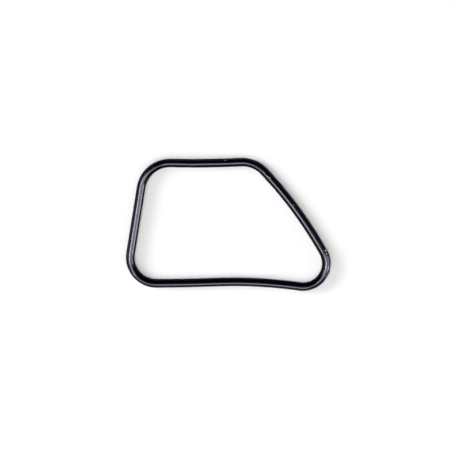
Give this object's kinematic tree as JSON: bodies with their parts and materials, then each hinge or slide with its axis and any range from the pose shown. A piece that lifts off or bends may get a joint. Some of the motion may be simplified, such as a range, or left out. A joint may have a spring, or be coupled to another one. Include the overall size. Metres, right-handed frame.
{
  "type": "water pump seal ring",
  "caption": "Moulded black rubber seal ring of round cord, a closed flat outline with a slanted side, which seals a pump cover to its housing.",
  "frame": {"origin": "middle of the ring's box, on the flat surface that the ring lies on", "axes": "+X along the ring's longest extent, to the right in the picture; +Y up in the picture, towards the short side of the outline; +Z up through the ring"},
  "size_m": [0.073, 0.0474, 0.003],
  "materials": {
    "black_rubber": "smooth moulded, glossy"
  },
  "bodies": {
    "root": {"seal_ring": "black_rubber"}
  },
  "joints": []
}
